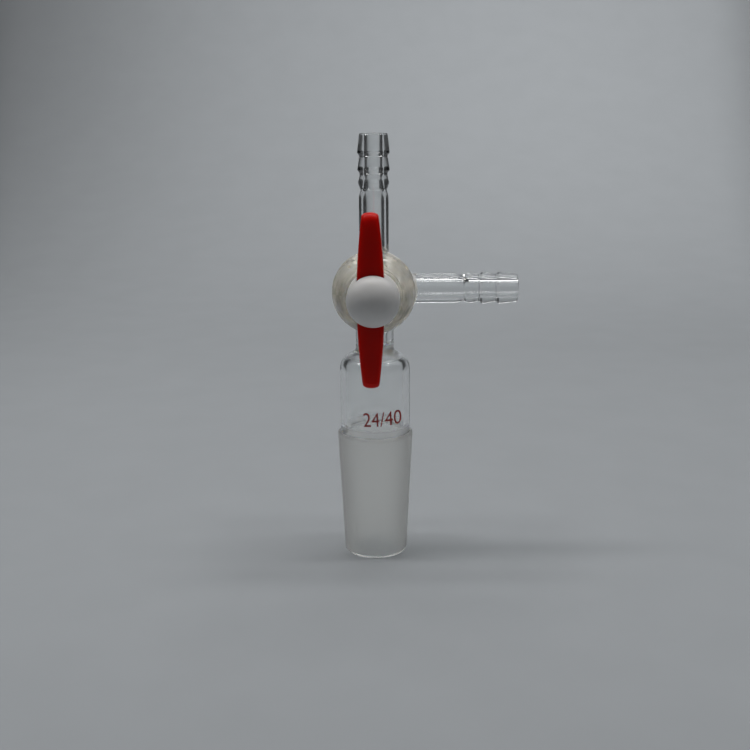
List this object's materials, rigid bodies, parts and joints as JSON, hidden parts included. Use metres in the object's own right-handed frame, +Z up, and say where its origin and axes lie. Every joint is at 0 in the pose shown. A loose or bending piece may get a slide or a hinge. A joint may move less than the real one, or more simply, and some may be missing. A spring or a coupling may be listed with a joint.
{
  "type": "glass stopcock",
  "caption": "Three-way glass stopcock with a ground cone below, barbed hose connections above and at the side, and a white taper plug turned by a red bar handle.",
  "frame": {"origin": "centre of the ground cone's lower end, on the main axis", "axes": "+Z up the main axis from the ground cone to the top hose connection, +X along the side hose connection, -Y towards the plug's head and handle"},
  "size_m": [0.0575, 0.0539, 0.1343],
  "materials": {
    "clear_glass": "clear borosilicate glass, ground matt on the cone and inside the barrel",
    "white_plastic": "white PTFE, turned and waxy",
    "red_plastic": "moulded red plastic, soft sheen",
    "black_rubber": "matt black rubber",
    "nut_plastic": "moulded white plastic"
  },
  "bodies": {
    "glass": {"glass_body": "clear_glass"},
    "tap": {"plug": "white_plastic", "handle": "red_plastic", "washer": "white_plastic", "rubber_ring": "black_rubber", "nut": "nut_plastic"}
  },
  "joints": [
    {"name": "plug_turn", "type": "hinge", "parent": "glass", "child": "tap", "pos_m": [0, 0, 0.0868], "axis": [0, 1, 0], "continuous": true}
  ]
}
